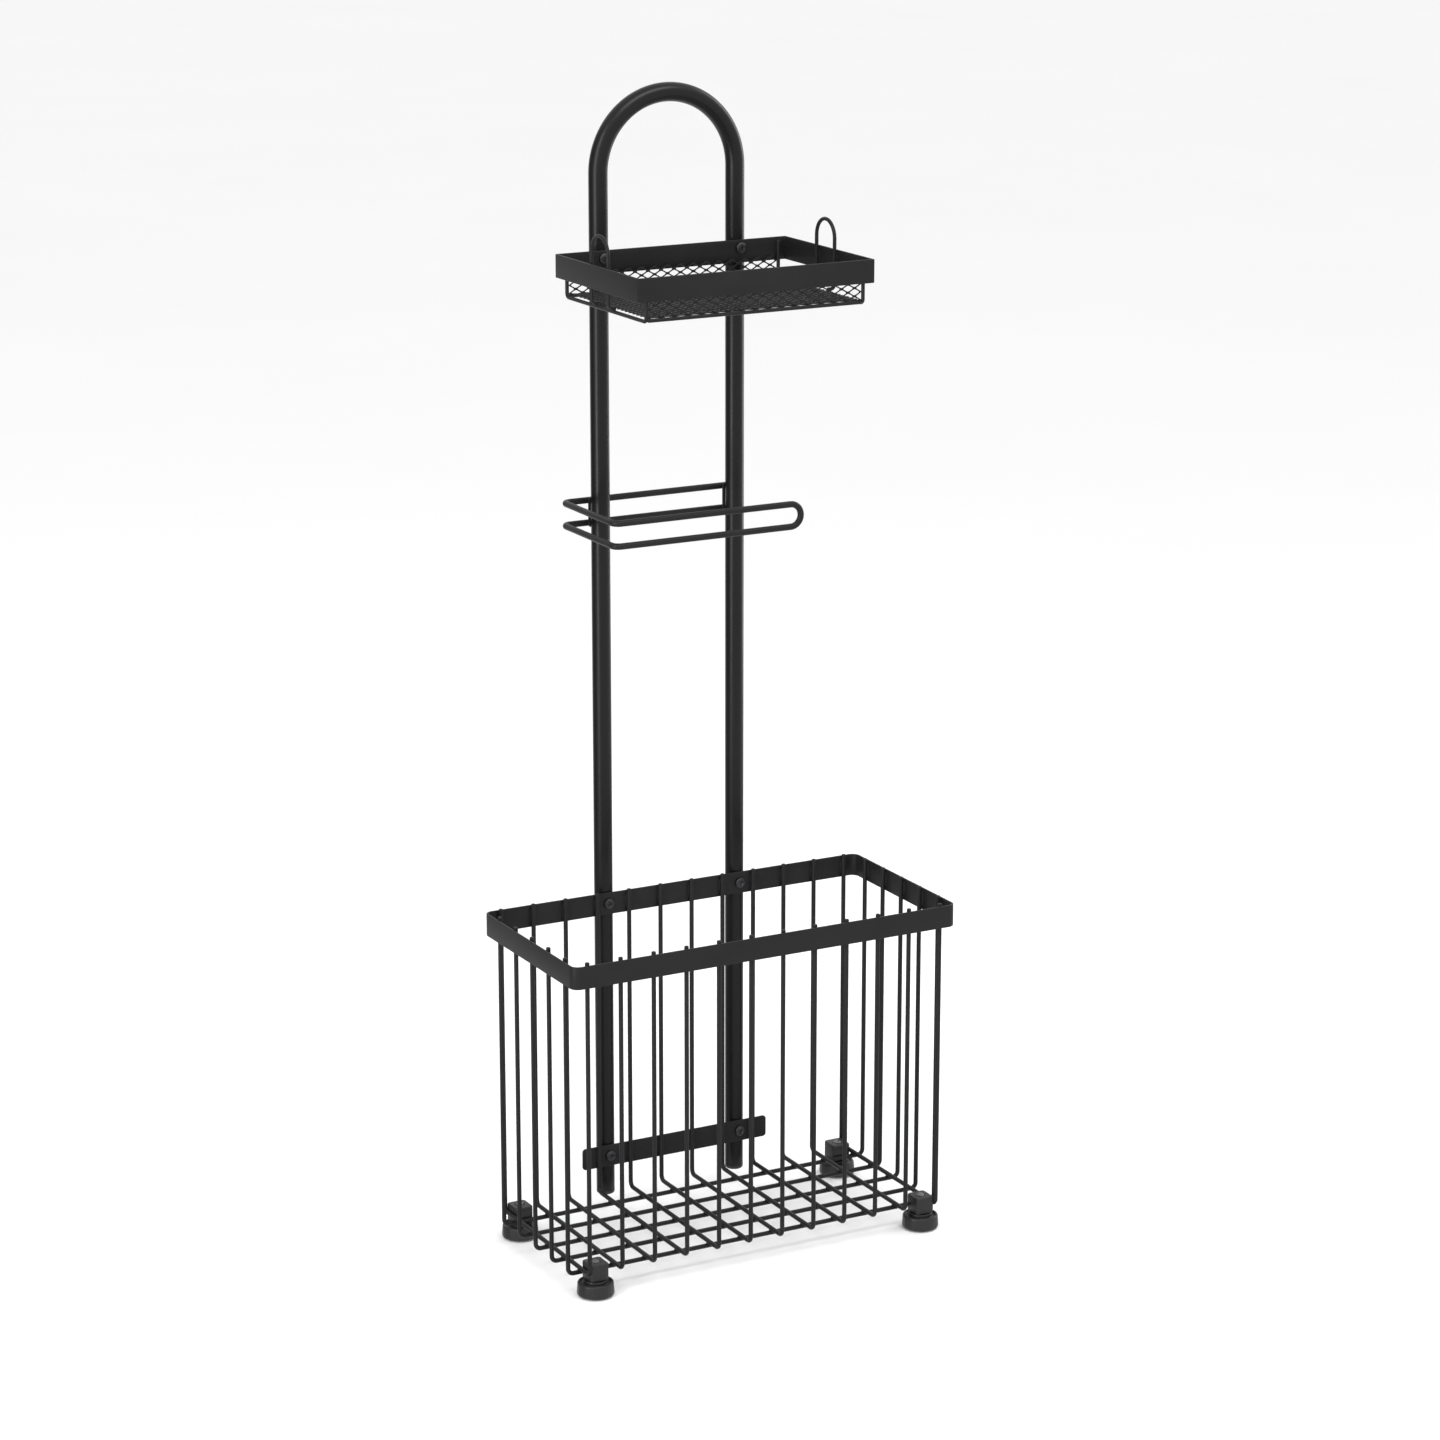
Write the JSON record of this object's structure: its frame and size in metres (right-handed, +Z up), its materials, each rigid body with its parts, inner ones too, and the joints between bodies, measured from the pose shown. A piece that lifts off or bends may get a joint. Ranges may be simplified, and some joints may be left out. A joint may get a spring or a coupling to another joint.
{
  "type": "toilet paper holder",
  "caption": "Free-standing toilet paper holder: arched tube stand with a mesh shelf, an open roll arm and a wire basket for spare rolls, on screw feet.",
  "frame": {"origin": "middle of the footprint, on the floor", "axes": "+Z up, +X to the right along the width as seen from the front, -Y towards the front"},
  "size_m": [0.3, 0.1636, 0.809],
  "materials": {
    "band_and_wire_paint": "satin black powder coat",
    "tube_paint": "satin black powder coat, a little glossier than the wire",
    "screw_black": "black oxide",
    "foot_plastic": "moulded black plastic",
    "pad_rubber": "matt black rubber",
    "stud_zinc": "zinc-plated steel thread"
  },
  "bodies": {
    "stand": {"basket_cross_wire_01": "band_and_wire_paint", "basket_cross_wire_02": "band_and_wire_paint", "basket_cross_wire_03": "band_and_wire_paint", "basket_cross_wire_04": "band_and_wire_paint", "basket_cross_wire_05": "band_and_wire_paint", "basket_cross_wire_06": "band_and_wire_paint", "basket_cross_wire_07": "band_and_wire_paint", "basket_cross_wire_08": "band_and_wire_paint", "basket_cross_wire_09": "band_and_wire_paint", "basket_cross_wire_10": "band_and_wire_paint", "basket_cross_wire_11": "band_and_wire_paint", "basket_cross_wire_12": "band_and_wire_paint", "basket_long_wire_1": "band_and_wire_paint", "basket_long_wire_2": "band_and_wire_paint", "basket_long_wire_3": "band_and_wire_paint", "basket_long_wire_4": "band_and_wire_paint", "basket_long_wire_5": "band_and_wire_paint", "basket_rim": "band_and_wire_paint", "basket_tie_bar": "band_and_wire_paint", "shelf_rim": "band_and_wire_paint", "shelf_mesh": "band_and_wire_paint", "shelf_end_wire_left": "band_and_wire_paint", "shelf_end_wire_right": "band_and_wire_paint", "shelf_edge_wire_front": "band_and_wire_paint", "shelf_edge_wire_back": "band_and_wire_paint", "shelf_loop_left": "band_and_wire_paint", "shelf_loop_right": "band_and_wire_paint", "roll_arm": "band_and_wire_paint", "arm_plate_left": "band_and_wire_paint", "arm_plate_right": "band_and_wire_paint", "stand_tube": "tube_paint", "basket_rim_screw_left": "screw_black", "basket_rim_screw_right": "screw_black", "basket_tie_screw_left": "screw_black", "basket_tie_screw_right": "screw_black", "shelf_screw_left": "screw_black", "shelf_screw_right": "screw_black", "arm_screw_left": "screw_black", "arm_screw_right": "screw_black", "post_plug_left": "foot_plastic", "post_plug_right": "foot_plastic", "foot_block_front_left": "foot_plastic", "foot_block_front_right": "foot_plastic", "foot_block_back_left": "foot_plastic", "foot_block_back_right": "foot_plastic"},
    "front_left_pad": {"foot_pad_front_left": "pad_rubber"},
    "front_left_foot": {"foot_base_front_left": "foot_plastic", "foot_stud_front_left": "stud_zinc"},
    "front_right_pad": {"foot_pad_front_right": "pad_rubber"},
    "front_right_foot": {"foot_base_front_right": "foot_plastic", "foot_stud_front_right": "stud_zinc"},
    "back_left_pad": {"foot_pad_back_left": "pad_rubber"},
    "back_left_foot": {"foot_base_back_left": "foot_plastic", "foot_stud_back_left": "stud_zinc"},
    "back_right_pad": {"foot_pad_back_right": "pad_rubber"},
    "back_right_foot": {"foot_base_back_right": "foot_plastic", "foot_stud_back_right": "stud_zinc"}
  },
  "joints": [
    {"name": "front_left_height", "type": "slide", "parent": "stand", "child": "front_left_pad", "axis": [0, 0, 1], "range_m": [-0.005, 0]},
    {"name": "front_left_turn", "type": "hinge", "parent": "front_left_pad", "child": "front_left_foot", "pos_m": [-0.13, -0.06878, 0.01], "axis": [0, 0, 1], "range_deg": [-1440, 0]},
    {"name": "front_right_height", "type": "slide", "parent": "stand", "child": "front_right_pad", "axis": [0, 0, 1], "range_m": [-0.005, 0]},
    {"name": "front_right_turn", "type": "hinge", "parent": "front_right_pad", "child": "front_right_foot", "pos_m": [0.13, -0.06878, 0.01], "axis": [0, 0, 1], "range_deg": [-1440, 0]},
    {"name": "back_left_height", "type": "slide", "parent": "stand", "child": "back_left_pad", "axis": [0, 0, 1], "range_m": [-0.005, 0]},
    {"name": "back_left_turn", "type": "hinge", "parent": "back_left_pad", "child": "back_left_foot", "pos_m": [-0.13, 0.05083, 0.01], "axis": [0, 0, 1], "range_deg": [-1440, 0]},
    {"name": "back_right_height", "type": "slide", "parent": "stand", "child": "back_right_pad", "axis": [0, 0, 1], "range_m": [-0.005, 0]},
    {"name": "back_right_turn", "type": "hinge", "parent": "back_right_pad", "child": "back_right_foot", "pos_m": [0.13, 0.05083, 0.01], "axis": [0, 0, 1], "range_deg": [-1440, 0]}
  ],
  "couplings": [
    {"joint": "front_left_height", "follows": "front_left_turn", "m_per_rad": 0.00019894},
    {"joint": "front_right_height", "follows": "front_right_turn", "m_per_rad": 0.00019894},
    {"joint": "back_left_height", "follows": "back_left_turn", "m_per_rad": 0.00019894},
    {"joint": "back_right_height", "follows": "back_right_turn", "m_per_rad": 0.00019894}
  ]
}
